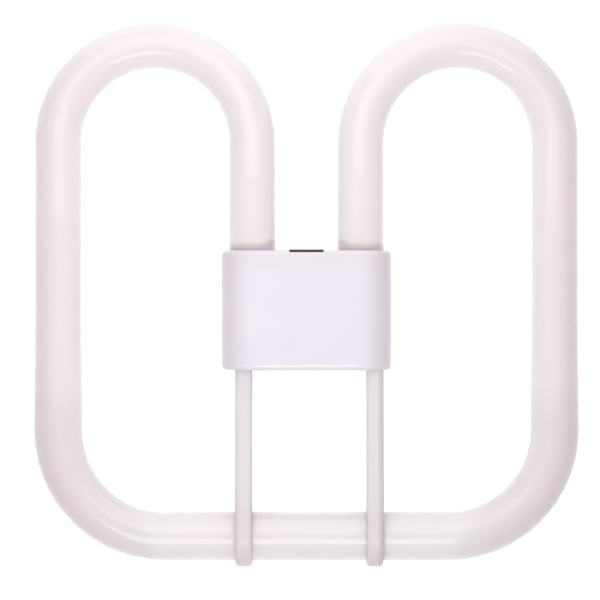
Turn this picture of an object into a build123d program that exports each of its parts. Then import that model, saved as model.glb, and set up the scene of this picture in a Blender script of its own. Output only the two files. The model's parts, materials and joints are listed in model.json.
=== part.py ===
from build123d import *
from math import acos, atan2, cos, degrees, hypot, sin
import os

# Square compact fluorescent lamp, lying face up on the rear collar of its cap.
# The origin is the centre of the collar's rim. X is across the lamp, Y points from the
# bottom run of the tube to its two top loops, and Z points out of the cap's front.
# All sizes are in millimetres.

# Tube: one round glass tube, bent in one plane into two D shaped loops.
# Its lower part is a little thicker, and tapers to the upper part along the sides.
tube_diameter = 17.8
lower_tube_diameter = 18.7
lamp_width = 207.4
leg_spacing = 41.4
loop_centre_y = 64.3
taper_top_y = 0.0
bottom_run_y = -86.3
bottom_corner_radius = 40.7
tube_plane_z = 21.3

# Tube ends inside the cap: shoulder, flat pinch seal and the tip of the pumping stem
shoulder_y = 1.5
pinch_top_y = -5.0
pinch_bottom_y = -11.0
pinch_width = 14.0
pinch_thickness = 4.4
pinch_corner_radius = 1.8
stem_tip_diameter = 3.6
stem_tip_length = 3.2
stem_tip_radius = 1.6

# Cap: two halves that part in the tube's plane, with round sides about the two legs
cap_width = 64.8
cap_height = 45.4
cap_depth = 23.4
cap_wall = 2.0
cap_edge_radius = 1.8
parting_groove = 0.3
leg_hole_clearance = 0.25
lip_height = 1.2
lip_thickness = 0.9
lip_clearance = 0.1
lip_leg_gap = 0.5
lip_arm_gap = 1.0

# Ribs, pegs and posts inside the cap
rib_thickness = 1.6
rib_places_y = (4.0, 12.8)
rib_tube_clearance = 0.1
rib_free_width = 21.4
peg_spacing = 31.0
peg_diameter = 5.0
peg_tip_diameter = 3.0
peg_tip_length = 4.5
post_diameter = 6.0
post_bore_clearance = 0.05
post_bore_depth = 5.5

# Rear collar with the well that takes the lampholder
collar_width = 40.0
collar_height = 34.0
collar_wall = 2.5
collar_corner_radius = 4.0
collar_foot_radius = 0.8
well_floor_z = 8.2
rim_outer_chamfer = 0.5
rim_inner_chamfer = 0.8
latch_groove_length = 12.0
latch_groove_height = 2.8
latch_groove_depth = 1.1
latch_groove_z = 4.6
key_rib_width = 3.0
key_rib_depth = 2.2
key_rib_start_z = 0.9

# Contact pins
pin_diameter = 2.35
pin_shank_diameter = 2.8
pin_spacing_x = 8.0
pin_spacing_y = 6.0
pin_tip_z = 1.4
pin_tip_radius = 0.9
pin_flange_diameter = 4.0
pin_flange_thickness = 0.8
pin_tail_diameter = 2.4
pin_tail_top_z = 15.2
pin_bore_bottom_z = 12.3
island_width = 14.0
island_height = 12.0
island_corner_radius = 3.0
island_thickness = 1.0

# Lead wires from the seals to the pins
wire_diameter = 0.9
wire_bend_radius = 1.8
wire_offset_in_seal = 3.7
near_wire_first_run = 4.2
near_wire_crossing = 2.5
near_wire_depth = 1.9
far_wire_first_run = 5.8
far_wire_crossing = 5.6
far_wire_height = 3.3
far_wire_lower_x = 9.6
far_wire_upper_x = 8.0
far_wire_upper_y = 0.5
far_wire_depth = 1.7

# Insulating board under the cap's front wall, and its tab in the top edge
board_width = 21.0
board_bottom_y = -18.6
board_top_y = 19.2
board_thickness = 1.1
board_corner_radius = 1.5
board_peg_clearance = 0.1
tab_width = 13.0
tab_overhang = 0.3
tab_visible_height = 1.1

# Silicone collars that seat the tube in the cap
seat_flange_diameter = 19.2
seat_flange_length = 5.6
seat_recess = 0.3

# Support arms over the bottom run, a little to the right of the tube's centre
arm_spacing = 49.9
arm_shift = 1.1
arm_width = 6.5
arm_root_depth = 7.3
arm_edge_radius = 1.7
arm_wall = 1.4
saddle_thickness = 2.0
adhesive_thickness = 0.3
adhesive_width = 5.0
adhesive_start_height = 2.0
channel_start_gap = 3.4
channel_end_gap = 2.2
channel_count = 5
channel_rib = 1.2
root_hook_width = 6.4
root_hook_depth = 5.6
root_hook_thickness = 1.4
root_hook_overlap = 1.75

# Sizes worked out from the driving ones
tube_radius = tube_diameter / 2
lower_tube_radius = lower_tube_diameter / 2
leg_x = leg_spacing / 2
side_x = (lamp_width - tube_diameter) / 2
loop_radius = (side_x - leg_x) / 2
loop_centre_x = (side_x + leg_x) / 2
corner_centre_x = side_x - bottom_corner_radius
corner_centre_y = bottom_run_y + bottom_corner_radius

cap_top_y = cap_height / 2
cap_rear_z = tube_plane_z - cap_depth / 2
cap_front_z = tube_plane_z + cap_depth / 2
cavity_width = cap_width - 2 * cap_wall
cavity_height = cap_height - 2 * cap_wall
cavity_depth = cap_depth - 2 * cap_wall
cavity_top_y = cavity_height / 2
cavity_floor_z = cap_rear_z + cap_wall
cavity_ceiling_z = cap_front_z - cap_wall
well_width = collar_width - 2 * collar_wall
well_height = collar_height - 2 * collar_wall
island_face_z = well_floor_z - island_thickness

saddle_inner_radius = lower_tube_radius + adhesive_thickness
saddle_outer_radius = saddle_inner_radius + saddle_thickness
arm_root_y = -cavity_top_y
arm_root_front_z = tube_plane_z + arm_root_depth

# Planes that cut across the legs, seen from the top: X to the right, Z upwards
cap_top_plane = Plane.XZ.offset(-cap_top_y)
cavity_top_plane = Plane.XZ.offset(-cavity_top_y)
parting_plane = Plane.XY.offset(tube_plane_z)


# Discharge tube, one sealed piece: the right half is made and mirrored
with BuildPart() as discharge_tube:
    with BuildLine(parting_plane) as upper_run:
        Line((leg_x, shoulder_y), (leg_x, loop_centre_y))
        CenterArc((loop_centre_x, loop_centre_y), loop_radius, 180, -180)
        Line((side_x, loop_centre_y), (side_x, taper_top_y))
    with BuildLine(parting_plane) as lower_run:
        CenterArc((corner_centre_x, corner_centre_y), bottom_corner_radius, 0, -90)
        Line((corner_centre_x, bottom_run_y), (0, bottom_run_y))
    leg_axis = Plane(origin=(leg_x, 0, tube_plane_z), x_dir=(1, 0, 0), z_dir=(0, 1, 0))
    side_axis = Plane(origin=(side_x, 0, tube_plane_z), x_dir=(1, 0, 0), z_dir=(0, 1, 0))
    with BuildSketch(leg_axis.offset(shoulder_y)):
        Circle(tube_radius)
    sweep(path=upper_run.wires()[0])
    with BuildSketch(side_axis.offset(taper_top_y)):
        Circle(tube_radius)
    with BuildSketch(side_axis.offset(corner_centre_y)):
        Circle(lower_tube_radius)
    loft()
    with BuildSketch(side_axis.offset(corner_centre_y)):
        Circle(lower_tube_radius)
    sweep(path=lower_run.wires()[0])
    with BuildSketch(leg_axis.offset(shoulder_y)):
        Circle(tube_radius)
    with BuildSketch(leg_axis.offset(pinch_top_y)):
        RectangleRounded(pinch_width, pinch_thickness, pinch_corner_radius)
    loft()
    with BuildSketch(leg_axis.offset(pinch_bottom_y)):
        RectangleRounded(pinch_width, pinch_thickness, pinch_corner_radius)
    extrude(amount=pinch_top_y - pinch_bottom_y)
    with BuildSketch(leg_axis.offset(pinch_bottom_y - stem_tip_length)):
        Circle(stem_tip_diameter / 2)
    extrude(amount=stem_tip_length)
    stem_tip_edge = discharge_tube.edges(Select.LAST).sort_by(Axis.Y)[0]
    fillet(stem_tip_edge, stem_tip_radius)
    mirror(about=Plane.YZ)


# Support arms: a channel shaped beam that ends in a saddle over the tube's front
def arm_centre_x(side):
    return side * arm_spacing / 2 + arm_shift


def saddle_tangent_angle():
    """Angle on the saddle, from +Y, where the beam's straight front edge touches it."""
    run = arm_root_y - bottom_run_y
    rise = arm_root_front_z - tube_plane_z
    return atan2(rise, run) + acos(saddle_outer_radius / hypot(run, rise))


def arm_front_z(y):
    """Height of the beam's front edge above a place along the arm."""
    angle = saddle_tangent_angle()
    slope = cos(angle) / sin(angle)
    return arm_root_front_z + slope * (arm_root_y - y)


def support_arm(side):
    centre_x = arm_centre_x(side)
    arm_plane = Plane.YZ.offset(centre_x)
    saddle_centre = (bottom_run_y, tube_plane_z)
    touch = saddle_tangent_angle()
    touch_y = bottom_run_y + saddle_outer_radius * cos(touch)
    touch_z = tube_plane_z + saddle_outer_radius * sin(touch)
    inner_end_y = bottom_run_y - saddle_inner_radius
    outer_end_y = bottom_run_y - saddle_outer_radius
    with BuildPart() as arm:
        with BuildSketch(arm_plane):
            with BuildLine():
                Line((arm_root_y, tube_plane_z), (arm_root_y, arm_root_front_z))
                Line((arm_root_y, arm_root_front_z), (touch_y, touch_z))
                CenterArc(saddle_centre, saddle_outer_radius, degrees(touch), 180 - degrees(touch))
                Line((outer_end_y, tube_plane_z), (inner_end_y, tube_plane_z))
                CenterArc(saddle_centre, saddle_inner_radius, 180, -180)
                Line((bottom_run_y + saddle_inner_radius, tube_plane_z), (arm_root_y, tube_plane_z))
            make_face()
        extrude(amount=arm_width / 2, both=True)
        flanks = arm.faces().filter_by(Axis.X)
        front_edges = flanks.edges().filter_by(is_on_arm_front)
        fillet(front_edges, arm_edge_radius)

        first_y = arm_root_y - channel_start_gap
        last_y = bottom_run_y + saddle_outer_radius + channel_end_gap
        pitch = (first_y - last_y + channel_rib) / channel_count
        with BuildSketch(arm_plane):
            for index in range(channel_count):
                near_y = first_y - index * pitch
                far_y = near_y - pitch + channel_rib
                near_top = (near_y, arm_front_z(near_y) - arm_wall)
                far_top = (far_y, arm_front_z(far_y) - arm_wall)
                with BuildLine():
                    Polyline((near_y, tube_plane_z), near_top, far_top, (far_y, tube_plane_z), close=True)
                make_face()
        extrude(amount=arm_width / 2 - arm_wall, both=True, mode=Mode.SUBTRACT)

        hook_x = centre_x - side * (arm_width / 2 + root_hook_overlap - root_hook_width / 2)
        with BuildSketch(Plane.XZ.offset(-arm_root_y - root_hook_thickness)):
            with Locations((hook_x, tube_plane_z + root_hook_depth / 2)):
                Rectangle(root_hook_width, root_hook_depth)
        extrude(amount=root_hook_thickness)
    return arm


def is_on_arm_front(edge):
    """True for the long edges of the beam's front and of the saddle's outside."""
    margin = saddle_thickness / 2
    middle = edge @ 0.5
    out = hypot(middle.Y - bottom_run_y, middle.Z - tube_plane_z)
    over_saddle = middle.Y < bottom_run_y + saddle_outer_radius
    on_outside = out > saddle_inner_radius + margin
    on_top = middle.Z > tube_plane_z + margin
    is_root_end = abs(middle.Y - arm_root_y) < margin
    is_saddle_end = abs(middle.Z - tube_plane_z) < margin
    if over_saddle:
        return on_outside and not is_saddle_end
    return on_top and not is_root_end


left_support_arm = support_arm(-1)
right_support_arm = support_arm(1)


# Silicone beds between the saddles and the tube
def arm_adhesive(side):
    top_z = tube_plane_z + saddle_inner_radius
    with BuildPart() as bed:
        with BuildSketch(Plane.YZ.offset(arm_centre_x(side))):
            with Locations((bottom_run_y, tube_plane_z)):
                Circle(saddle_inner_radius)
                Circle(lower_tube_radius, mode=Mode.SUBTRACT)
            with Locations((bottom_run_y, (top_z + tube_plane_z + adhesive_start_height) / 2)):
                Rectangle(
                    2 * saddle_inner_radius,
                    top_z - tube_plane_z - adhesive_start_height,
                    mode=Mode.INTERSECT,
                )
        extrude(amount=adhesive_width / 2, both=True)
    return bed


left_arm_adhesive = arm_adhesive(-1)
right_arm_adhesive = arm_adhesive(1)


# Insulating board: lies under the front wall, located by the pegs, with its tab in the top edge
with BuildPart() as insulating_board:
    with BuildSketch(Plane.XY.offset(cavity_ceiling_z - board_thickness)):
        with Locations((0, (board_bottom_y + board_top_y) / 2)):
            RectangleRounded(board_width, board_top_y - board_bottom_y, board_corner_radius)
        with Locations((0, (board_top_y + cap_top_y + tab_overhang) / 2)):
            Rectangle(tab_width, cap_top_y + tab_overhang - board_top_y)
        with Locations((0, -peg_spacing / 2), (0, peg_spacing / 2)):
            Circle(peg_diameter / 2 + board_peg_clearance, mode=Mode.SUBTRACT)
    extrude(amount=board_thickness)


# Cap: the outside and the hollow of both halves together
with BuildPart() as cap_block:
    with BuildSketch(cap_top_plane):
        with Locations((0, tube_plane_z)):
            SlotOverall(cap_width, cap_depth)
    extrude(amount=cap_height)
    end_faces = cap_block.faces().filter_by(Axis.Y)
    fillet(end_faces.edges(), cap_edge_radius)

    # Fine groove round the outside, half in each cover
    with BuildSketch(parting_plane.offset(-parting_groove / 2)):
        Rectangle(cap_width + cap_wall, cap_height + cap_wall)
        RectangleRounded(
            cap_width - 2 * parting_groove,
            cap_height - 2 * parting_groove,
            cap_edge_radius - parting_groove,
            mode=Mode.SUBTRACT,
        )
    extrude(amount=parting_groove, mode=Mode.SUBTRACT)

with BuildPart() as cap_cavity:
    with BuildSketch(cavity_top_plane):
        with Locations((0, tube_plane_z)):
            SlotOverall(cavity_width, cavity_depth)
    extrude(amount=cavity_height)
    with BuildSketch(cavity_top_plane):
        with Locations((-leg_x, tube_plane_z), (leg_x, tube_plane_z)):
            Circle(tube_radius + leg_hole_clearance)
    extrude(amount=-cap_wall)

# Ribs with round seats for the two legs; the middle stays free for the wiring
with BuildPart() as leg_ribs:
    for rib_y in rib_places_y:
        with BuildSketch(Plane.XZ.offset(-rib_y - rib_thickness / 2)):
            with Locations((0, tube_plane_z)):
                SlotOverall(cavity_width + cap_wall, cavity_depth + cap_wall)
                Rectangle(rib_free_width, cap_depth, mode=Mode.SUBTRACT)
            with Locations((-leg_x, tube_plane_z), (leg_x, tube_plane_z)):
                Circle(tube_radius + rib_tube_clearance, mode=Mode.SUBTRACT)
        extrude(amount=rib_thickness)


def lip_sketch(clearance):
    """Outline of the welding lip at the parting plane, left out at the legs and arms."""
    slack = 2 * clearance
    outer_width = cavity_width + 2 * lip_thickness + slack
    outer_height = cavity_height + 2 * lip_thickness + slack
    leg_gap = tube_diameter + 2 * (leg_hole_clearance + lip_leg_gap) - slack
    arm_gap = arm_width + 2 * lip_arm_gap - slack
    gap_length = 3 * cap_wall
    with BuildSketch(parting_plane) as lip:
        Rectangle(outer_width, outer_height)
        Rectangle(cavity_width - 2 * slack, cavity_height - 2 * slack, mode=Mode.SUBTRACT)
        with Locations((-leg_x, cavity_top_y), (leg_x, cavity_top_y)):
            Rectangle(leg_gap, gap_length, mode=Mode.SUBTRACT)
        with Locations((arm_centre_x(-1), -cavity_top_y), (arm_centre_x(1), -cavity_top_y)):
            Rectangle(arm_gap, gap_length, mode=Mode.SUBTRACT)
    return lip.sketch


with BuildPart() as front_cover:
    add(cap_block.part)
    add(cap_cavity.part, mode=Mode.SUBTRACT)
    add(leg_ribs.part)
    split(bisect_by=parting_plane, keep=Keep.TOP)
    with BuildSketch(parting_plane):
        with Locations((0, -peg_spacing / 2), (0, peg_spacing / 2)):
            Circle(peg_diameter / 2)
    extrude(amount=cavity_ceiling_z - tube_plane_z)
    with BuildSketch(parting_plane):
        with Locations((0, -peg_spacing / 2), (0, peg_spacing / 2)):
            Circle(peg_tip_diameter / 2)
    extrude(amount=-peg_tip_length)
    extrude(lip_sketch(0), amount=-lip_height)
    with BuildSketch(Plane.XY.offset(cavity_ceiling_z)):
        with Locations((0, cap_top_y + tab_overhang - tab_visible_height)):
            Rectangle(tab_width, cap_wall, align=(Align.CENTER, Align.MIN))
    extrude(amount=cap_wall, mode=Mode.SUBTRACT)
    add(insulating_board.part, mode=Mode.SUBTRACT)
    add([left_support_arm.part, right_support_arm.part], mode=Mode.SUBTRACT)

with BuildPart() as rear_cover:
    add(cap_block.part)
    add(cap_cavity.part, mode=Mode.SUBTRACT)
    add(leg_ribs.part)
    split(bisect_by=parting_plane, keep=Keep.BOTTOM)
    extrude(lip_sketch(lip_clearance), amount=-lip_height - lip_clearance, mode=Mode.SUBTRACT)

    # Posts that take the front cover's pegs
    with BuildSketch(Plane.XY.offset(cavity_floor_z)):
        with Locations((0, -peg_spacing / 2), (0, peg_spacing / 2)):
            Circle(post_diameter / 2)
    extrude(amount=tube_plane_z - cavity_floor_z)
    with BuildSketch(parting_plane):
        with Locations((0, -peg_spacing / 2), (0, peg_spacing / 2)):
            Circle(peg_tip_diameter / 2 + post_bore_clearance)
    extrude(amount=-post_bore_depth, mode=Mode.SUBTRACT)

    # Collar with its foot fillet, and the well inside it
    with BuildSketch(Plane.XY):
        RectangleRounded(collar_width, collar_height, collar_corner_radius)
    extrude(amount=cap_rear_z)
    foot_edges = rear_cover.edges(Select.LAST).group_by(Axis.Z)[-1]
    fillet(foot_edges, collar_foot_radius)
    with BuildSketch(Plane.XY):
        RectangleRounded(well_width, well_height, collar_corner_radius - collar_wall)
    extrude(amount=well_floor_z, mode=Mode.SUBTRACT)
    rim = rear_cover.faces().sort_by(Axis.Z)[0]
    chamfer(rim.outer_wire().edges(), rim_outer_chamfer)
    rim = rear_cover.faces().sort_by(Axis.Z)[0]
    chamfer(rim.inner_wires()[0].edges(), rim_inner_chamfer)

    # Island with the pin holes, key rib, and grooves for the lampholder's latches
    with BuildSketch(Plane.XY.offset(well_floor_z)):
        RectangleRounded(island_width, island_height, island_corner_radius)
    extrude(amount=-island_thickness)
    with BuildSketch(Plane.XY.offset(island_face_z)):
        with GridLocations(pin_spacing_x, pin_spacing_y, 2, 2):
            Circle(pin_shank_diameter / 2)
    extrude(amount=cavity_floor_z - island_face_z, mode=Mode.SUBTRACT)
    with BuildSketch(Plane.XY.offset(key_rib_start_z)):
        with Locations((0, well_height / 2)):
            Rectangle(key_rib_width, key_rib_depth, align=(Align.CENTER, Align.MAX))
    extrude(amount=well_floor_z - key_rib_start_z)
    for side in (-1, 1):
        with BuildSketch(Plane.YZ.offset(side * collar_width / 2)):
            with Locations((0, latch_groove_z)):
                Rectangle(latch_groove_length, latch_groove_height)
        extrude(amount=-side * latch_groove_depth, mode=Mode.SUBTRACT)


# Silicone collars: a flange inside the cap and a sleeve in the leg's hole
def tube_seat(side):
    with BuildPart() as seat:
        with BuildSketch(cavity_top_plane):
            with Locations((side * leg_x, tube_plane_z)):
                Circle(seat_flange_diameter / 2)
                Circle(tube_radius, mode=Mode.SUBTRACT)
        extrude(amount=seat_flange_length)
        with BuildSketch(cavity_top_plane):
            with Locations((side * leg_x, tube_plane_z)):
                Circle(tube_radius + leg_hole_clearance)
                Circle(tube_radius, mode=Mode.SUBTRACT)
        extrude(amount=seat_recess - cap_wall)
    return seat


# Contact pins: round nose, pressed shank, flange inside the cap, and a bored tail for the wire
def contact_pin(pin_x, pin_y):
    flange_top_z = cavity_floor_z + pin_flange_thickness
    with BuildPart() as pin:
        with BuildSketch(Plane(origin=(pin_x, pin_y, 0), x_dir=(1, 0, 0), z_dir=(0, -1, 0))):
            with BuildLine():
                Polyline(
                    (0, pin_tip_z),
                    (pin_diameter / 2, pin_tip_z),
                    (pin_diameter / 2, island_face_z),
                    (pin_shank_diameter / 2, island_face_z),
                    (pin_shank_diameter / 2, cavity_floor_z),
                    (pin_flange_diameter / 2, cavity_floor_z),
                    (pin_flange_diameter / 2, flange_top_z),
                    (pin_tail_diameter / 2, flange_top_z),
                    (pin_tail_diameter / 2, pin_tail_top_z),
                    (wire_diameter / 2, pin_tail_top_z),
                    (wire_diameter / 2, pin_bore_bottom_z),
                    (0, pin_bore_bottom_z),
                    close=True,
                )
            make_face()
        revolve(axis=Axis((pin_x, pin_y, 0), (0, 0, 1)))
        fillet(pin.edges().group_by(Axis.Z)[0], pin_tip_radius)
    return pin


# Lead wires: out of the seal, across the cap above the well, and down into the pin
def lead_wire(side, row):
    """row is -1 for the pin nearer the seals and 1 for the farther one."""
    seal_x = side * (leg_x + row * wire_offset_in_seal)
    pin_x = side * pin_spacing_x / 2
    pin_y = row * pin_spacing_y / 2
    start = (seal_x, pinch_bottom_y, tube_plane_z)
    end = (pin_x, pin_y, pin_bore_bottom_z)
    crossing_z = tube_plane_z + far_wire_height
    if row < 0:
        bends = [
            (seal_x, pinch_bottom_y - near_wire_first_run, tube_plane_z),
            (pin_x, pinch_bottom_y - near_wire_crossing, tube_plane_z - near_wire_depth),
            (pin_x, pin_y, tube_plane_z - near_wire_depth),
        ]
    else:
        bends = [
            (seal_x, pinch_bottom_y - far_wire_first_run, tube_plane_z),
            (side * far_wire_lower_x, pinch_bottom_y - far_wire_crossing, crossing_z),
            (side * far_wire_upper_x, far_wire_upper_y, crossing_z),
            (pin_x, pin_y, tube_plane_z - far_wire_depth),
        ]
    with BuildPart() as wire:
        with BuildLine() as route:
            FilletPolyline(start, *bends, end, radius=wire_bend_radius)
        with BuildSketch(Plane(origin=route.line @ 0, z_dir=route.line % 0)):
            Circle(wire_diameter / 2)
        sweep()
    return wire


pieces = {
    "discharge_tube": discharge_tube,
    "front_cover": front_cover,
    "rear_cover": rear_cover,
    "insulating_board": insulating_board,
    "left_support_arm": left_support_arm,
    "right_support_arm": right_support_arm,
    "left_arm_adhesive": left_arm_adhesive,
    "right_arm_adhesive": right_arm_adhesive,
    "left_tube_seat": tube_seat(-1),
    "right_tube_seat": tube_seat(1),
}
pin_places = [(-1, 1), (1, 1), (-1, -1), (1, -1)]
for number, (side, row) in enumerate(pin_places, start=1):
    pin = contact_pin(side * pin_spacing_x / 2, row * pin_spacing_y / 2)
    pieces[f"contact_pin_{number}"] = pin
    pieces[f"lead_wire_{number}"] = lead_wire(side, row)

os.makedirs("parts", exist_ok=True)
for name, piece in pieces.items():
    piece.part.label = name
    export_step(piece.part, f"parts/{name}.step")
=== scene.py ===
import bmesh
import bpy
import json
import math
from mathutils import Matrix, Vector


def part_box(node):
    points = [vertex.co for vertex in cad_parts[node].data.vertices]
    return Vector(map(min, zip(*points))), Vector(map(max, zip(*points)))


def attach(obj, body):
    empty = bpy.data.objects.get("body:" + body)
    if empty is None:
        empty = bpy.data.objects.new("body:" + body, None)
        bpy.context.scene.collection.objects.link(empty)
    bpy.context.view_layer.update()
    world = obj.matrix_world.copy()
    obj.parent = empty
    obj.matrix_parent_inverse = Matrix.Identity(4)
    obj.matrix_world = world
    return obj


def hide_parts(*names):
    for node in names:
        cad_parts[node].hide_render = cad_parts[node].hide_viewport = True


# Square fluorescent lamp, lying face up. All lengths are in metres.
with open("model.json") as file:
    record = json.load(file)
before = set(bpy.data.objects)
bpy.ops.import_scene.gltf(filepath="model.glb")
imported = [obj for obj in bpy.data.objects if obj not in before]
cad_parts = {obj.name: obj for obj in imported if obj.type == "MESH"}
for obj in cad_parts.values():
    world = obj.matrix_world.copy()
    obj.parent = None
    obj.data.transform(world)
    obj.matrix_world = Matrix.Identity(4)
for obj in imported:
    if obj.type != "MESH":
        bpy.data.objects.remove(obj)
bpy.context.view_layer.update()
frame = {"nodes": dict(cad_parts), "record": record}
nodes = frame["nodes"]

# Sizes read from the frame
tube_low, tube_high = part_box("discharge_tube")
seat_low, seat_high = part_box("right_tube_seat")
cap_low, cap_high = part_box("front_cover")
rear_low, rear_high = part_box("rear_cover")
left_arm_x = sum(corner.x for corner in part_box("left_support_arm")) / 2
right_arm_x = sum(corner.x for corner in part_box("right_support_arm")) / 2
lower_tube_radius = (tube_high.z - tube_low.z) / 2
tube_plane_z = (tube_high.z + tube_low.z) / 2
side_x = tube_high.x - lower_tube_radius
bottom_run_y = tube_low.y + lower_tube_radius
leg_x = (seat_low.x + seat_high.x) / 2
loop_radius = (side_x - leg_x) / 2
floor_z = rear_low.z

# Sizes that the frame doesn't give
tube_radius = 0.0089
loop_top_y = tube_high.y - tube_radius
corner_radius = 0.0407
taper_top_y = 0.0
taper_bottom_y = bottom_run_y + corner_radius
shoulder_y = 0.0015
pinch_top_y = -0.0050
pinch_bottom_y = -0.0110
pinch_half_width = 0.0070
pinch_half_thickness = 0.0022
stem_tip_radius = 0.0018
stem_tip_length = 0.0032
ring_points = 72
arc_points = 48
path_merge_distance = 0.0001
seam_merge_distance = 0.00005

# Camera: the middle of the photograph's frame, and its width at the tube's plane
picture_centre = Vector((-0.00245, 0.0039, tube_plane_z))
picture_width = 0.2294
camera_height = 0.80
sensor_width = 36.0


def new_object(name, data):
    """Puts a mesh, a curve, a lamp or a camera into the scene as an object at the origin."""
    piece = bpy.data.objects.new(name, data)
    bpy.context.scene.collection.objects.link(piece)
    return piece


# Shader node groups
def new_group(name, inputs, outputs):
    """A shader group with sockets from (name, type, value) rows. Returns its tree and end nodes."""
    group = bpy.data.node_groups.new(name, "ShaderNodeTree")
    for label, kind, value in inputs:
        socket = group.interface.new_socket(name=label, in_out="INPUT", socket_type=kind)
        if value is not None:
            socket.default_value = value
    for label, kind in outputs:
        group.interface.new_socket(name=label, in_out="OUTPUT", socket_type=kind)
    start = group.nodes.new("NodeGroupInput")
    end = group.nodes.new("NodeGroupOutput")
    return group, start, end


def add_noise(tree, coordinates, scale, detail, roughness):
    """A noise texture on the given coordinates. Scale is a number or a socket."""
    noise = tree.nodes.new("ShaderNodeTexNoise")
    noise.inputs["Detail"].default_value = detail
    noise.inputs["Roughness"].default_value = roughness
    tree.links.new(coordinates, noise.inputs["Vector"])
    if isinstance(scale, (int, float)):
        noise.inputs["Scale"].default_value = scale
    else:
        tree.links.new(scale, noise.inputs["Scale"])
    return noise.outputs["Fac"]


def add_math(tree, operation, *values):
    """A math node. Each value is a number or a socket."""
    node = tree.nodes.new("ShaderNodeMath")
    node.operation = operation
    for socket, value in zip(node.inputs, values):
        if isinstance(value, (int, float)):
            socket.default_value = value
        else:
            tree.links.new(value, socket)
    return node.outputs[0]


def add_excess(tree, value, limit):
    """How far a value is past a limit, and 0 before it. Each is a number or a socket."""
    return add_math(tree, "MAXIMUM", add_math(tree, "SUBTRACT", value, limit), 0.0)


def add_length(tree, x, y):
    """Length of the flat vector with these two parts."""
    squares = [add_math(tree, "POWER", part, 2.0) for part in (x, y)]
    return add_math(tree, "SQRT", add_math(tree, "ADD", *squares))


def add_ramp(tree, value, low, high, out_low=0.0, out_high=1.0, kind="SMOOTHSTEP"):
    """Maps a value from one range to another, held at the ends."""
    node = tree.nodes.new("ShaderNodeMapRange")
    node.interpolation_type = kind
    tree.links.new(value, node.inputs["Value"])
    limits = {"From Min": low, "From Max": high, "To Min": out_low, "To Max": out_high}
    for label, number in limits.items():
        if isinstance(number, (int, float)):
            node.inputs[label].default_value = number
        else:
            tree.links.new(number, node.inputs[label])
    return node.outputs["Result"]


def add_mix(tree, factor, first, second, blend="MIX"):
    """Mixes two colours. Each value is a number, a colour or a socket."""
    node = tree.nodes.new("ShaderNodeMix")
    node.data_type = "RGBA"
    node.blend_type = blend
    for label, value in (("Factor", factor), ("A", first), ("B", second)):
        socket = next(s for s in node.inputs if s.name == label and s.enabled)
        if isinstance(value, (int, float)):
            socket.default_value = value
        elif isinstance(value, tuple):
            socket.default_value = (*value, 1.0)
        else:
            tree.links.new(value, socket)
    return next(s for s in node.outputs if s.enabled)


def tone_drift_group():
    """Slow drift between two close tones, with a fine grain on top."""
    group, start, end = new_group(
        "tone_drift",
        [
            ("Vector", "NodeSocketVector", None),
            ("Tone A", "NodeSocketColor", (0.8, 0.8, 0.8, 1.0)),
            ("Tone B", "NodeSocketColor", (0.75, 0.75, 0.75, 1.0)),
            ("Drift Scale", "NodeSocketFloat", 30.0),
            ("Grain Scale", "NodeSocketFloat", 1500.0),
            ("Grain Depth", "NodeSocketFloat", 0.03),
        ],
        [("Color", "NodeSocketColor"), ("Grain", "NodeSocketFloat")],
    )
    drift = add_noise(group, start.outputs["Vector"], start.outputs["Drift Scale"], 3.0, 0.55)
    factor = add_ramp(group, drift, 0.36, 0.64)
    tone = add_mix(group, factor, start.outputs["Tone A"], start.outputs["Tone B"])
    grain = add_noise(group, start.outputs["Vector"], start.outputs["Grain Scale"], 3.0, 0.6)
    darker = add_math(group, "MULTIPLY", grain, start.outputs["Grain Depth"])
    lightness = add_math(group, "SUBTRACT", 1.0, darker)
    shade = group.nodes.new("ShaderNodeCombineColor")
    for channel in ("Red", "Green", "Blue"):
        group.links.new(lightness, shade.inputs[channel])
    toned = add_mix(group, 1.0, tone, shade.outputs["Color"], "MULTIPLY")
    group.links.new(toned, end.inputs["Color"])
    group.links.new(grain, end.inputs["Grain"])
    return group


def moulded_skin_group():
    """Skin of moulded plastic: fine grain and slow sink marks, as height and roughness."""
    group, start, end = new_group(
        "moulded_skin",
        [
            ("Vector", "NodeSocketVector", None),
            ("Grain Scale", "NodeSocketFloat", 2600.0),
            ("Grain Height", "NodeSocketFloat", 0.25),
            ("Sink Scale", "NodeSocketFloat", 90.0),
            ("Roughness Low", "NodeSocketFloat", 0.32),
            ("Roughness High", "NodeSocketFloat", 0.42),
        ],
        [("Height", "NodeSocketFloat"), ("Roughness", "NodeSocketFloat")],
    )
    grain = add_noise(group, start.outputs["Vector"], start.outputs["Grain Scale"], 2.0, 0.5)
    sink = add_noise(group, start.outputs["Vector"], start.outputs["Sink Scale"], 1.0, 0.4)
    fine = add_math(group, "MULTIPLY", grain, start.outputs["Grain Height"])
    height = add_math(group, "ADD", fine, sink)
    rubbed = add_noise(group, start.outputs["Vector"], 140.0, 4.0, 0.6)
    roughness = add_ramp(
        group, rubbed, 0.35, 0.65, start.outputs["Roughness Low"], start.outputs["Roughness High"],
    )
    group.links.new(height, end.inputs["Height"])
    group.links.new(roughness, end.inputs["Roughness"])
    return group


def stretched_lines_group():
    """Fine lines along one axis, as drawn metal or paper fibres have."""
    group, start, end = new_group(
        "stretched_lines",
        [
            ("Vector", "NodeSocketVector", None),
            ("Stretch", "NodeSocketVector", (1.0, 1.0, 1.0)),
            ("Scale", "NodeSocketFloat", 3000.0),
        ],
        [("Lines", "NodeSocketFloat")],
    )
    stretch = group.nodes.new("ShaderNodeVectorMath")
    stretch.operation = "MULTIPLY"
    group.links.new(start.outputs["Vector"], stretch.inputs[0])
    group.links.new(start.outputs["Stretch"], stretch.inputs[1])
    lines = add_noise(group, stretch.outputs["Vector"], start.outputs["Scale"], 4.0, 0.6)
    group.links.new(lines, end.inputs["Lines"])
    return group


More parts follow.
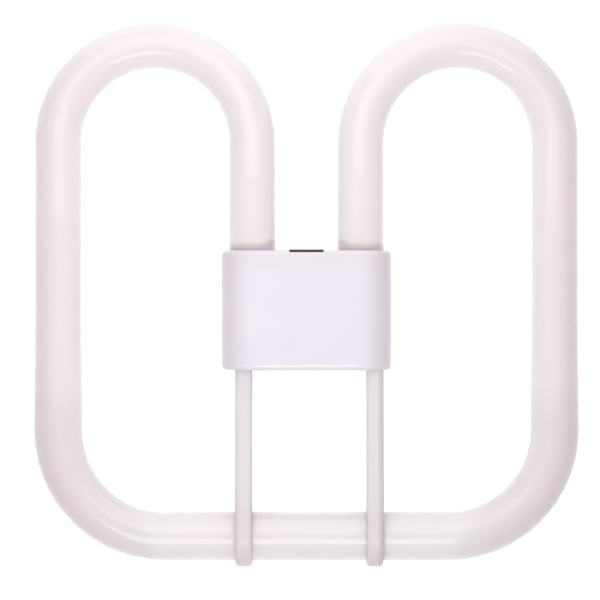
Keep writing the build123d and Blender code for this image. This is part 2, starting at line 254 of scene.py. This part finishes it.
def toned_zone_group():
    """Tints a colour where a distance has passed from one value to another."""
    group, start, end = new_group(
        "toned_zone",
        [
            ("Color", "NodeSocketColor", (0.8, 0.8, 0.8, 1.0)),
            ("Distance", "NodeSocketFloat", 0.0),
            ("Zone Start", "NodeSocketFloat", 0.0),
            ("Zone End", "NodeSocketFloat", 1.0),
            ("Tint", "NodeSocketColor", (1.0, 1.0, 1.0, 1.0)),
        ],
        [("Color", "NodeSocketColor")],
    )
    given = start.outputs
    mask = add_ramp(group, given["Distance"], given["Zone Start"], given["Zone End"])
    tinted = add_mix(group, 1.0, given["Color"], given["Tint"], "MULTIPLY")
    toned = add_mix(group, mask, given["Color"], tinted)
    group.links.new(toned, end.inputs["Color"])
    return group


tone_drift = tone_drift_group()
moulded_skin = moulded_skin_group()
stretched_lines = stretched_lines_group()
toned_zone = toned_zone_group()


def new_material(name):
    """A material with its shader and the object coordinates."""
    material = bpy.data.materials.new(name)
    material.use_nodes = True
    tree = material.node_tree
    shader = tree.nodes["Principled BSDF"]
    coordinates = tree.nodes.new("ShaderNodeTexCoord").outputs["Object"]
    return material, tree, shader, coordinates


def add_group(tree, group, coordinates, **values):
    """Places a node group. Values are given by socket name, with _ for a space."""
    node = tree.nodes.new("ShaderNodeGroup")
    node.node_tree = group
    tree.links.new(coordinates, node.inputs["Vector"])
    for label, value in values.items():
        socket = node.inputs[label.replace("_", " ")]
        if isinstance(value, tuple) and socket.type == "RGBA":
            value = (*value, 1.0)
        socket.default_value = value
    return node


def add_place(tree, coordinates):
    """The X, Y and Z outputs of a place or a direction."""
    place = tree.nodes.new("ShaderNodeSeparateXYZ")
    tree.links.new(coordinates, place.inputs["Vector"])
    return place.outputs


def add_zone(tree, colour, distance, zone_start, zone_end, tint):
    """Places the toned zone group between a colour and what uses it."""
    node = tree.nodes.new("ShaderNodeGroup")
    node.node_tree = toned_zone
    tree.links.new(colour, node.inputs["Color"])
    tree.links.new(distance, node.inputs["Distance"])
    node.inputs["Zone Start"].default_value = zone_start
    node.inputs["Zone End"].default_value = zone_end
    node.inputs["Tint"].default_value = (*tint, 1.0)
    return node.outputs["Color"]


def add_bump(tree, shader, height, strength, distance):
    """Feeds a height into the shader's normal. Distance is in metres."""
    bump = tree.nodes.new("ShaderNodeBump")
    bump.inputs["Strength"].default_value = strength
    bump.inputs["Distance"].default_value = distance
    tree.links.new(height, bump.inputs["Height"])
    tree.links.new(bump.outputs["Normal"], shader.inputs["Normal"])


# Materials
def coated_glass_material():
    """White powder coating seen through a clear, glossy glass wall."""
    material, tree, shader, coordinates = new_material("coated_glass")
    powder = add_group(
        tree, tone_drift, coordinates,
        Tone_A=(0.885, 0.805, 0.836), Tone_B=(0.875, 0.812, 0.838),
        Drift_Scale=22.0, Grain_Scale=1800.0, Grain_Depth=0.02,
    )
    place = add_place(tree, coordinates)
    from_middle = add_math(tree, "ABSOLUTE", place["X"])

    # Painted warm light: a little pinker on the outer half of both sides and of the lower corners,
    # and less so with each step along the bottom run towards its middle
    outer_limit_x = 0.070
    outer_start = corner_radius - 0.3 * tube_radius
    outer_end = corner_radius + 0.8 * tube_radius
    past_x = add_excess(tree, from_middle, side_x - corner_radius)
    past_y = add_excess(tree, taper_bottom_y, place["Y"])
    from_corner = add_length(tree, past_x, past_y)
    along_run = add_excess(tree, outer_limit_x, from_middle)
    outward = add_math(tree, "SUBTRACT", from_corner, along_run)
    colour = add_zone(
        tree, powder.outputs["Color"], outward, outer_start, outer_end, (0.995, 0.952, 0.972),
    )

    # Duller and greyer in the lower corners
    corner_limit_x = 0.086
    corner_slope = 2.0
    toward_run = add_excess(tree, corner_limit_x, from_middle)
    corner_depth = add_math(tree, "MULTIPLY_ADD", toward_run, corner_slope, place["Y"])
    colour = add_zone(tree, colour, corner_depth, -0.026, -0.042, (0.938, 0.938, 0.928))

    # Greyer along the bottom run
    run_slope = 0.5
    run_depth = add_math(tree, "MULTIPLY_ADD", from_middle, run_slope, place["Y"])
    colour = add_zone(tree, colour, run_depth, -0.040, -0.062, (0.996, 1.016, 1.006))

    # Darker foot of each leg where it meets the cap: partly the electrode's end of the coating,
    # partly painted contact shade. Its upper edge rises on the side that faces the other leg.
    foot_height = 0.0030
    foot_rise = 0.0016
    foot_strength = 0.8
    foot_end_and_shade_colour = (0.70, 0.595, 0.600)
    inner_side = add_math(tree, "SUBTRACT", leg_x, from_middle)
    rise = add_ramp(tree, inner_side, 0.0030, 0.0075, 0.0, foot_rise)
    foot_top = add_math(tree, "ADD", rise, cap_high.y + foot_height)
    above_foot = add_math(tree, "SUBTRACT", place["Y"], foot_top)
    mask = add_ramp(tree, above_foot, -0.0016, 0.0004, 1.0, 0.0)
    on_leg = add_math(tree, "LESS_THAN", from_middle, leg_x + 1.2 * tube_radius)
    above_pinch = add_math(tree, "GREATER_THAN", place["Y"], pinch_bottom_y)
    for limit in (on_leg, above_pinch, foot_strength):
        mask = add_math(tree, "MULTIPLY", mask, limit)
    colour = add_mix(tree, mask, colour, foot_end_and_shade_colour)
    tree.links.new(colour, shader.inputs["Base Color"])

    powder_roughness = add_ramp(tree, powder.outputs["Grain"], 0.3, 0.7, 0.62, 0.78)
    tree.links.new(powder_roughness, shader.inputs["Roughness"])
    shader.inputs["Specular IOR Level"].default_value = 0.15

    # The powder lets some light through
    shader.inputs["Subsurface Weight"].default_value = 0.6
    shader.inputs["Subsurface Radius"].default_value = (1.0, 1.0, 1.0)
    shader.inputs["Subsurface Scale"].default_value = 0.010

    # Glass wall
    shader.inputs["Coat Weight"].default_value = 1.0
    shader.inputs["Coat Roughness"].default_value = 0.03
    shader.inputs["Coat IOR"].default_value = 1.5
    add_bump(tree, shader, powder.outputs["Grain"], 0.2, 0.00004)
    return material


def moulded_plastic(name, tone_a, tone_b, rough_low, rough_high):
    """Satin moulded plastic. The caller links the colour that it returns last."""
    material, tree, shader, coordinates = new_material(name)
    tone = add_group(
        tree, tone_drift, coordinates,
        Tone_A=tone_a, Tone_B=tone_b, Drift_Scale=45.0, Grain_Scale=2400.0, Grain_Depth=0.012,
    )
    skin = add_group(
        tree, moulded_skin, coordinates,
        Grain_Scale=3200.0, Grain_Height=0.12, Sink_Scale=70.0,
        Roughness_Low=rough_low, Roughness_High=rough_high,
    )
    tree.links.new(skin.outputs["Roughness"], shader.inputs["Roughness"])
    shader.inputs["IOR"].default_value = 1.5
    shader.inputs["Subsurface Weight"].default_value = 0.08
    shader.inputs["Subsurface Radius"].default_value = (0.0012, 0.0010, 0.0010)
    shader.inputs["Subsurface Scale"].default_value = 1.0
    add_bump(tree, shader, skin.outputs["Height"], 0.35, 0.00008)
    return material, tree, shader, add_place(tree, coordinates), tone.outputs["Color"]


def cap_plastic_material():
    """Plastic of the two covers, with painted shade at the sides and a painted highlight on one
    glossy line.
    """
    material, tree, shader, place, colour = moulded_plastic(
        "cap_plastic", (0.834, 0.788, 0.876), (0.846, 0.804, 0.881), 0.32, 0.42,
    )

    # Painted shade, pinker and darker, on the rounded sides; warmer from a little above the middle
    # up
    from_middle = add_math(tree, "ABSOLUTE", place["X"])
    colour = add_zone(tree, colour, from_middle, 0.0200, 0.0295, (0.958, 0.928, 0.900))
    colour = add_zone(tree, colour, place["Y"], 0.0120, 0.0190, (0.985, 0.980, 0.960))

    # Painted highlight: a lighter, glossy line where the front cover's lower edge starts to round,
    # between the arms
    line_y = cap_low.y + 0.0019
    line_middle_x = 0.0006
    line_depth = 0.0030
    highlight_colour = (0.945, 0.925, 0.955)
    gloss_and_highlight = add_ramp(tree, place["Y"], line_y - 0.0006, line_y - 0.0003)
    under_top = add_ramp(tree, place["Y"], line_y + 0.0002, line_y + 0.0005, 1.0, 0.0)
    aside = add_math(tree, "ABSOLUTE", add_math(tree, "SUBTRACT", place["X"], line_middle_x))
    between_arms = add_ramp(tree, aside, 0.0180, 0.0205, 1.0, 0.0)
    in_front = add_math(tree, "GREATER_THAN", place["Z"], cap_high.z - line_depth)
    for limit in (under_top, between_arms, in_front):
        gloss_and_highlight = add_math(tree, "MULTIPLY", gloss_and_highlight, limit)
    tree.links.new(gloss_and_highlight, shader.inputs["Coat Weight"])
    shader.inputs["Coat Roughness"].default_value = 0.25
    # The painted highlight lightens the colour along that line
    colour = add_mix(tree, gloss_and_highlight, colour, highlight_colour)
    tree.links.new(colour, shader.inputs["Base Color"])
    return material


def arm_plastic_material():
    """Plastic of the two support arms, greyer than the cap's."""
    material, tree, shader, place, colour = moulded_plastic(
        "arm_plastic", (0.795, 0.760, 0.790), (0.810, 0.770, 0.800), 0.30, 0.40,
    )

    # Painted shade along both edges of each arm, darkest in a line near the right one, away from
    # the light
    arms_middle_x = (left_arm_x + right_arm_x) / 2
    half_spacing = (right_arm_x - left_arm_x) / 2
    from_middle = add_math(tree, "SUBTRACT", place["X"], arms_middle_x)
    arm_side = add_math(tree, "SIGN", from_middle)
    from_arm = add_math(tree, "MULTIPLY_ADD", arm_side, -half_spacing, from_middle)
    from_edge = add_math(tree, "ABSOLUTE", from_arm)
    colour = add_zone(tree, colour, from_edge, 0.0017, 0.0025, (0.978, 0.972, 0.975))
    colour = add_zone(tree, colour, from_arm, 0.0019, 0.0023, (0.900, 0.895, 0.900))

    # Pinker where the arms lie over the tube, and painted shade, darker and pinker, at their tips
    # under it
    colour = add_zone(tree, colour, place["Y"], -0.0680, -0.0790, (0.985, 0.940, 0.945))
    colour = add_zone(tree, colour, place["Y"], -0.0925, -0.0970, (0.950, 0.880, 0.900))
    tree.links.new(colour, shader.inputs["Base Color"])
    return material


def hard_paper_material():
    """Brown resin-bonded paper board, with fibres along its length."""
    material, tree, shader, coordinates = new_material("board_brown")
    tone = add_group(
        tree, tone_drift, coordinates,
        Tone_A=(0.118, 0.060, 0.038), Tone_B=(0.085, 0.042, 0.028),
        Drift_Scale=260.0, Grain_Scale=3500.0, Grain_Depth=0.25,
    )
    fibres = add_group(tree, stretched_lines, coordinates, Stretch=(0.12, 1.0, 1.0), Scale=4200.0)
    pale = add_ramp(tree, fibres.outputs["Lines"], 0.5, 0.75, 0.0, 0.35)
    colour = add_mix(tree, pale, tone.outputs["Color"], (0.24, 0.140, 0.088))
    tree.links.new(colour, shader.inputs["Base Color"])
    roughness = add_ramp(tree, fibres.outputs["Lines"], 0.3, 0.7, 0.48, 0.66)
    tree.links.new(roughness, shader.inputs["Roughness"])
    add_bump(tree, shader, fibres.outputs["Lines"], 0.5, 0.00003)
    return material


def silicone_material():
    """Cured white silicone, slightly uneven."""
    material, tree, shader, coordinates = new_material("silicone")
    tone = add_group(
        tree, tone_drift, coordinates,
        Tone_A=(0.80, 0.79, 0.77), Tone_B=(0.74, 0.73, 0.71),
        Drift_Scale=180.0, Grain_Scale=1200.0, Grain_Depth=0.04,
    )
    tree.links.new(tone.outputs["Color"], shader.inputs["Base Color"])
    shader.inputs["Roughness"].default_value = 0.45
    shader.inputs["Subsurface Weight"].default_value = 0.2
    shader.inputs["Subsurface Radius"].default_value = (0.0015, 0.0015, 0.0015)
    shader.inputs["Subsurface Scale"].default_value = 1.0
    add_bump(tree, shader, tone.outputs["Grain"], 0.4, 0.00010)
    return material


def drawn_metal_material(name, tone_a, tone_b, stretch, rough_low, rough_high):
    """Drawn or turned metal with fine lines."""
    material, tree, shader, coordinates = new_material(name)
    tone = add_group(
        tree, tone_drift, coordinates,
        Tone_A=tone_a, Tone_B=tone_b, Drift_Scale=500.0, Grain_Scale=2500.0, Grain_Depth=0.08,
    )
    lines = add_group(tree, stretched_lines, coordinates, Stretch=stretch, Scale=9000.0)
    tree.links.new(tone.outputs["Color"], shader.inputs["Base Color"])
    shader.inputs["Metallic"].default_value = 1.0
    roughness = add_ramp(tree, lines.outputs["Lines"], 0.3, 0.7, rough_low, rough_high)
    tree.links.new(roughness, shader.inputs["Roughness"])
    add_bump(tree, shader, lines.outputs["Lines"], 0.3, 0.00002)
    return material


materials = {
    "coated_glass": coated_glass_material(),
    "cap_plastic": cap_plastic_material(),
    "arm_plastic": arm_plastic_material(),
    "board_brown": hard_paper_material(),
    "silicone": silicone_material(),
    "pin_metal": drawn_metal_material(
        "pin_metal", (0.830, 0.640, 0.330), (0.780, 0.590, 0.300), (1.0, 1.0, 0.1), 0.20, 0.34,
    ),
    "wire_metal": drawn_metal_material(
        "wire_metal", (0.660, 0.640, 0.610), (0.600, 0.585, 0.560), (1.0, 1.0, 1.0), 0.26, 0.40,
    ),
}


# Glass tube: swept by Geometry Nodes along a cornered path whose corners it rounds
def corner_path():
    """The tube's path with sharp corners, from the left leg's shoulder to the right leg's."""
    corners = [
        (-leg_x, shoulder_y),
        (-leg_x, loop_top_y),
        (-side_x, loop_top_y),
        (-side_x, taper_top_y),
        (-side_x, bottom_run_y),
        (side_x, bottom_run_y),
        (side_x, taper_top_y),
        (side_x, loop_top_y),
        (leg_x, loop_top_y),
        (leg_x, shoulder_y),
    ]
    curve = bpy.data.curves.new("tube_path", "CURVE")
    curve.dimensions = "3D"
    spline = curve.splines.new("POLY")
    spline.points.add(len(corners) - 1)
    for point, (x, y) in zip(spline.points, corners):
        point.co = (x, y, tube_plane_z, 1.0)
    return new_object("tube_path", curve)


def bent_tube_tree():
    """Rounds each corner of a path and sweeps a round section along it, thicker at the bottom."""
    tree = bpy.data.node_groups.new("bent_tube", "GeometryNodeTree")
    inputs = [
        ("Path", "NodeSocketGeometry"),
        ("Loop Radius", "NodeSocketFloat"),
        ("Corner Radius", "NodeSocketFloat"),
        ("Tube Radius", "NodeSocketFloat"),
        ("Lower Tube Radius", "NodeSocketFloat"),
        ("Taper Top", "NodeSocketFloat"),
        ("Taper Bottom", "NodeSocketFloat"),
        ("Arc Points", "NodeSocketInt"),
        ("Ring Points", "NodeSocketInt"),
        ("Glass", "NodeSocketMaterial"),
    ]
    for label, kind in inputs:
        tree.interface.new_socket(name=label, in_out="INPUT", socket_type=kind)
    tree.interface.new_socket(name="Tube", in_out="OUTPUT", socket_type="NodeSocketGeometry")
    start = tree.nodes.new("NodeGroupInput").outputs
    end = tree.nodes.new("NodeGroupOutput")
    link = tree.links.new

    # The two loops are at the top of the path and the two corners at the bottom
    place = tree.nodes.new("ShaderNodeSeparateXYZ")
    link(tree.nodes.new("GeometryNodeInputPosition").outputs["Position"], place.inputs["Vector"])
    is_loop = tree.nodes.new("FunctionNodeCompare")
    is_loop.operation = "GREATER_THAN"
    link(place.outputs["Y"], is_loop.inputs["A"])
    radius = tree.nodes.new("GeometryNodeSwitch")
    radius.input_type = "FLOAT"
    link(is_loop.outputs["Result"], radius.inputs["Switch"])
    link(start["Corner Radius"], radius.inputs["False"])
    link(start["Loop Radius"], radius.inputs["True"])

    rounded = tree.nodes.new("GeometryNodeFilletCurve")
    rounded.mode = "POLY"
    link(start["Path"], rounded.inputs["Curve"])
    link(start["Arc Points"], rounded.inputs["Count"])
    link(radius.outputs["Output"], rounded.inputs["Radius"])

    # One point each where two arcs meet and where the taper starts
    chain = tree.nodes.new("GeometryNodeCurveToMesh")
    link(rounded.outputs["Curve"], chain.inputs["Curve"])
    merged = tree.nodes.new("GeometryNodeMergeByDistance")
    merged.inputs["Distance"].default_value = path_merge_distance
    link(chain.outputs["Mesh"], merged.inputs["Geometry"])
    centreline = tree.nodes.new("GeometryNodeMeshToCurve")
    link(merged.outputs["Geometry"], centreline.inputs["Mesh"])

    # A section of radius 1 takes its size from its place along the sides
    thickness = tree.nodes.new("ShaderNodeMapRange")
    link(place.outputs["Y"], thickness.inputs["Value"])
    link(start["Taper Bottom"], thickness.inputs["From Min"])
    link(start["Taper Top"], thickness.inputs["From Max"])
    link(start["Lower Tube Radius"], thickness.inputs["To Min"])
    link(start["Tube Radius"], thickness.inputs["To Max"])
    section = tree.nodes.new("GeometryNodeCurvePrimitiveCircle")
    section.inputs["Radius"].default_value = 1.0
    link(start["Ring Points"], section.inputs["Resolution"])
    swept = tree.nodes.new("GeometryNodeCurveToMesh")
    link(centreline.outputs["Curve"], swept.inputs["Curve"])
    link(section.outputs["Curve"], swept.inputs["Profile Curve"])
    link(thickness.outputs["Result"], swept.inputs["Scale"])
    smooth = tree.nodes.new("GeometryNodeSetShadeSmooth")
    link(swept.outputs["Mesh"], smooth.inputs["Geometry"])
    realized = tree.nodes.new("GeometryNodeRealizeInstances")
    link(smooth.outputs["Geometry"], realized.inputs["Geometry"])
    finished = tree.nodes.new("GeometryNodeSetMaterial")
    link(realized.outputs["Geometry"], finished.inputs["Geometry"])
    link(start["Glass"], finished.inputs["Material"])
    link(finished.outputs["Geometry"], end.inputs["Tube"])
    return tree


def grown_mesh(source, tree, name, values):
    """Runs a Geometry Nodes tree on an object and returns the result as a plain mesh."""
    modifier = source.modifiers.new("grow", "NODES")
    modifier.node_group = tree
    for item in tree.interface.items_tree:
        if item.item_type == "SOCKET" and item.in_out == "INPUT" and item.name in values:
            modifier[item.identifier] = values[item.name]
    bpy.context.view_layer.update()
    evaluated = source.evaluated_get(bpy.context.evaluated_depsgraph_get())
    mesh = bpy.data.meshes.new_from_object(evaluated)
    mesh.name = name
    source.modifiers.remove(modifier)
    bpy.data.objects.remove(source)
    return mesh


def oval_ring(work, centre_x, y, half_width, half_thickness, squareness):
    """A ring of vertices about a leg's axis. Squareness 0 is an oval, higher is a rounded bar."""
    power = 1.0 / (1.0 + squareness)
    ring = []
    for index in range(ring_points):
        angle = 2 * math.pi * index / ring_points
        across = math.copysign(abs(math.cos(angle)) ** power, math.cos(angle))
        up = math.copysign(abs(math.sin(angle)) ** power, math.sin(angle))
        place = (centre_x + half_width * across, y, tube_plane_z + half_thickness * up)
        ring.append(work.verts.new(place))
    return ring


def sealed_end(work, centre_x):
    """Shoulder, flat pinch seal and rounded stem tip of one tube end."""
    shoulder_steps = 8
    tip_steps = 6
    pinch_squareness = 0.8
    stations = [(shoulder_y, tube_radius, tube_radius, 0.0)]
    for step in range(1, shoulder_steps + 1):
        share = step / shoulder_steps
        ease = share * share * (3 - 2 * share)
        y = shoulder_y + (pinch_top_y - shoulder_y) * share
        half_width = tube_radius + (pinch_half_width - tube_radius) * ease
        half_thickness = tube_radius + (pinch_half_thickness - tube_radius) * ease
        stations.append((y, half_width, half_thickness, pinch_squareness * ease))
    stations.append((pinch_bottom_y, pinch_half_width, pinch_half_thickness, pinch_squareness))
    stations.append((pinch_bottom_y, stem_tip_radius, stem_tip_radius, 0.0))
    straight_y = pinch_bottom_y - stem_tip_length + stem_tip_radius
    for step in range(tip_steps):
        angle = math.pi / 2 * step / tip_steps
        tip_y = straight_y - stem_tip_radius * math.sin(angle)
        tip_radius = stem_tip_radius * math.cos(angle)
        stations.append((tip_y, tip_radius, tip_radius, 0.0))
    rings = [oval_ring(work, centre_x, *station) for station in stations]
    for near, far in zip(rings, rings[1:]):
        for index in range(ring_points):
            after = (index + 1) % ring_points
            work.faces.new((near[index], near[after], far[after], far[index]))
    pole = work.verts.new((centre_x, straight_y - stem_tip_radius, tube_plane_z))
    for index in range(ring_points):
        work.faces.new((rings[-1][index], rings[-1][(index + 1) % ring_points], pole))


def make_glass_tube():
    """The whole tube as one closed mesh, in place of the CAD tube."""
    mesh = grown_mesh(
        corner_path(), bent_tube_tree(), "glass_tube",
        {
            "Loop Radius": loop_radius,
            "Corner Radius": corner_radius,
            "Tube Radius": tube_radius,
            "Lower Tube Radius": lower_tube_radius,
            "Taper Top": taper_top_y,
            "Taper Bottom": taper_bottom_y,
            "Arc Points": arc_points,
            "Ring Points": ring_points,
            "Glass": materials["coated_glass"],
        },
    )
    work = bmesh.new()
    work.from_mesh(mesh)
    sealed_end(work, -leg_x)
    sealed_end(work, leg_x)
    bmesh.ops.remove_doubles(work, verts=work.verts, dist=seam_merge_distance)
    bmesh.ops.recalc_face_normals(work, faces=work.faces)
    for face in work.faces:
        face.smooth = True
    work.to_mesh(mesh)
    work.free()
    tube = new_object("glass_tube", mesh)
    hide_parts("discharge_tube")
    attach(tube, "root")


# Finishes of the CAD pieces
def finish_node(name, material):
    """Gives a CAD piece one of the finishes."""
    mesh = nodes[name].data
    mesh.materials.clear()
    mesh.materials.append(material)


for row in frame["record"]["subparts"]:
    finish_node(row["node"], materials[row["material_slot"]])

make_glass_tube()


# Floor, camera and lights
def floor_material():
    """White floor that keeps a soft shadow near the lamp. It is whiter further out."""
    shadow_glow, shadow_reach = 0.52, 0.16
    far_glow, far_reach = 0.95, 0.45
    mirrored_glow = 0.80
    material = bpy.data.materials.new("floor_white")
    material.use_nodes = True
    tree = material.node_tree
    tree.nodes.clear()
    paint = tree.nodes.new("ShaderNodeBsdfDiffuse")
    paint.inputs["Color"].default_value = (0.85, 0.85, 0.85, 1.0)
    glow = tree.nodes.new("ShaderNodeEmission")
    path = tree.nodes.new("ShaderNodeLightPath").outputs
    mirrored = add_math(tree, "MAXIMUM", path["Is Glossy Ray"], path["Is Transmission Ray"])
    mirrored = add_math(tree, "MULTIPLY", mirrored, mirrored_glow)
    distance = tree.nodes.new("ShaderNodeVectorMath")
    distance.operation = "LENGTH"
    coordinates = tree.nodes.new("ShaderNodeTexCoord").outputs["Object"]
    tree.links.new(coordinates, distance.inputs[0])
    level = add_ramp(
        tree, distance.outputs["Value"], shadow_reach, far_reach, shadow_glow, far_glow,
    )
    seen = add_math(tree, "MULTIPLY", path["Is Camera Ray"], level)
    strength = add_math(tree, "MAXIMUM", seen, mirrored)
    tree.links.new(strength, glow.inputs["Strength"])
    total = tree.nodes.new("ShaderNodeAddShader")
    tree.links.new(paint.outputs["BSDF"], total.inputs[0])
    tree.links.new(glow.outputs["Emission"], total.inputs[1])
    output = tree.nodes.new("ShaderNodeOutputMaterial")
    tree.links.new(total.outputs["Shader"], output.inputs["Surface"])
    return material


def make_floor():
    """Plain floor that the lamp lies on."""
    half = 3.0
    mesh = bpy.data.meshes.new("floor")
    corners = [(-half, -half), (half, -half), (half, half), (-half, half)]
    mesh.from_pydata([(x, y, floor_z) for x, y in corners], [], [(0, 1, 2, 3)])
    mesh.materials.append(floor_material())
    new_object("floor", mesh)


def make_camera():
    """Camera that looks straight down, as in the photograph."""
    data = bpy.data.cameras.new("camera")
    data.sensor_width = sensor_width
    data.lens = sensor_width * camera_height / picture_width
    camera = new_object("camera", data)
    camera.location = picture_centre + Vector((0.0, 0.0, camera_height))
    bpy.context.scene.camera = camera


def make_panel(name, shape, centre, size, brightness, tilt=0.0, mirrored=True):
    """A soft light panel that faces down. Brightness is the value that a mirror would show."""
    area = size[0] * size[1]
    if shape == "ELLIPSE":
        area *= math.pi / 4
    data = bpy.data.lights.new(name, "AREA")
    data.shape = shape
    data.size, data.size_y = size
    data.energy = brightness * math.pi * area
    panel = new_object(name, data)
    panel.location = centre
    panel.rotation_euler = (tilt, 0.0, 0.0)
    panel.visible_camera = False
    panel.visible_glossy = mirrored


def make_world():
    """Soft light with a level for each side of the lamp. The background is white."""
    horizon_low, horizon_high = 0.1, 0.3
    world = bpy.data.worlds.new("surround")
    world.use_nodes = True
    tree = world.node_tree
    background = tree.nodes["Background"]
    direction = add_place(tree, tree.nodes.new("ShaderNodeTexCoord").outputs["Generated"])
    fill = 0.0
    for axis, sign, level in side_levels:
        facing = add_math(tree, "MULTIPLY", direction[axis], sign)
        facing = add_math(tree, "MAXIMUM", facing, 0.0)
        share = add_math(tree, "POWER", facing, 2.0)
        fill = add_math(tree, "MULTIPLY_ADD", share, level, fill)
    path = tree.nodes.new("ShaderNodeLightPath").outputs
    seen = add_math(tree, "MAXIMUM", path["Is Glossy Ray"], path["Is Transmission Ray"])
    near_horizon = add_ramp(tree, direction["Z"], horizon_low, horizon_high, 1.0, 0.0)
    seen = add_math(tree, "MULTIPLY", seen, near_horizon)
    seen = add_math(tree, "MAXIMUM", seen, path["Is Camera Ray"])
    strength = add_ramp(tree, seen, 0.0, 1.0, fill, 1.0, "LINEAR")
    background.inputs["Color"].default_value = (1.0, 1.0, 1.0, 1.0)
    tree.links.new(strength, background.inputs["Strength"])
    bpy.context.scene.world = world


# Axis, direction and level of the soft light from each side
side_levels = [
    ("X", 1.0, 0.39),
    ("X", -1.0, 0.41),
    ("Y", 1.0, 0.37),
    ("Y", -1.0, 0.93),
    ("Z", 1.0, 0.36),
]
light_z = tube_plane_z + 0.35
top_light_z = tube_plane_z + 0.20

make_floor()
make_camera()
make_panel("key_panel", "RECTANGLE", (-0.04, 0.23, light_z), (0.35, 0.36), 1.1)
make_panel("key_glow", "ELLIPSE", (-0.08, 0.25, light_z + 0.01), (0.36, 0.38), 0.25)
make_panel("front_panel", "RECTANGLE", (-0.03, -0.225, light_z), (0.24, 0.18), 2.5)
make_panel("back_panel", "RECTANGLE", (0.0, 0.55, 0.22), (0.9, 0.44), 0.97, math.radians(-90))
make_panel("top_panel", "ELLIPSE", (0.0, 0.0, top_light_z), (0.30, 0.30), 0.5, mirrored=False)
make_world()
bpy.context.scene.view_settings.view_transform = "Standard"
